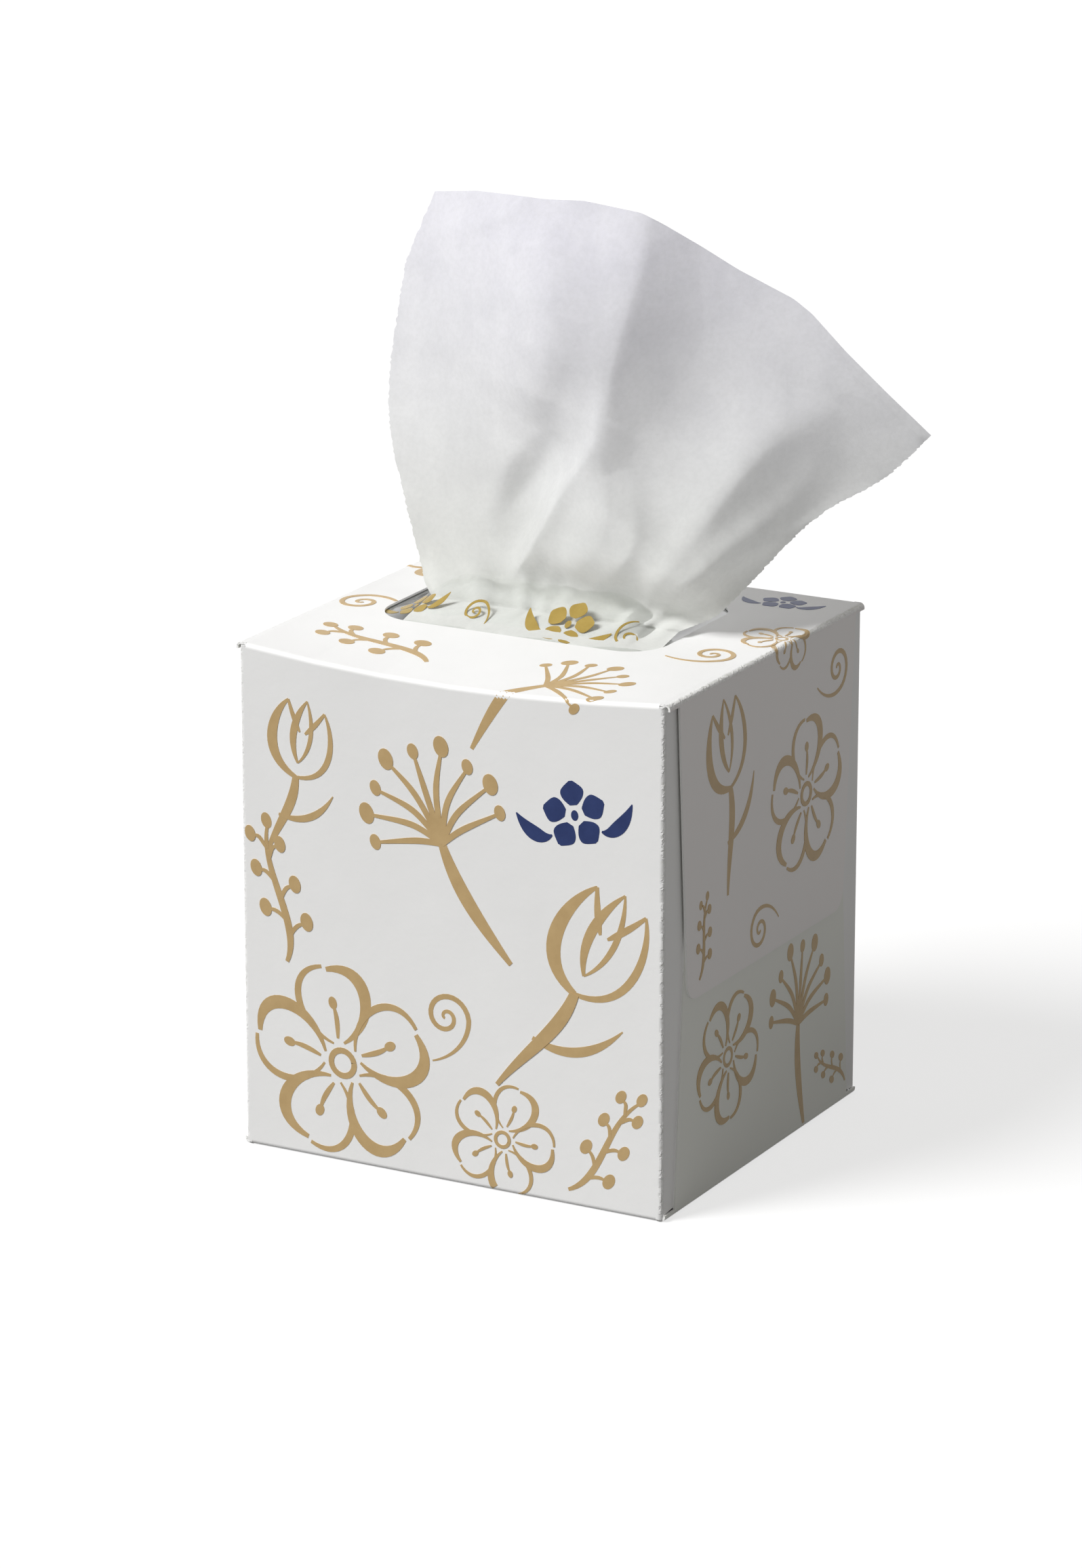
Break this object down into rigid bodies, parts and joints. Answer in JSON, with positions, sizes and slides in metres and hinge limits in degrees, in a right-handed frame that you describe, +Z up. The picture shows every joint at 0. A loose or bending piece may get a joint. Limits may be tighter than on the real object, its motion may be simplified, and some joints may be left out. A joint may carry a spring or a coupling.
{
  "type": "tissue box",
  "caption": "Cube-shaped folded card box of facial tissues, with a slit film window in its top and one tissue pulled up through it.",
  "frame": {"origin": "centre of the carton's base, on the surface it stands on", "axes": "+Z up, +X to the right along the broad front, +Y towards the back; the front panel faces -Y and the glued end flaps face -X and +X"},
  "size_m": [0.1417, 0.1024, 0.227],
  "materials": {
    "carton_board": "smooth white coated card with a soft sheen, printed in tan gold",
    "window_film": "thin clear glossy film with a small olive gold print",
    "tissue": "soft matt two-ply tissue that lets some light through"
  },
  "bodies": {
    "root": {"carton": "carton_board", "window_film": "window_film", "tissue_stack": "tissue", "pulled_tissue": "tissue"}
  },
  "joints": []
}
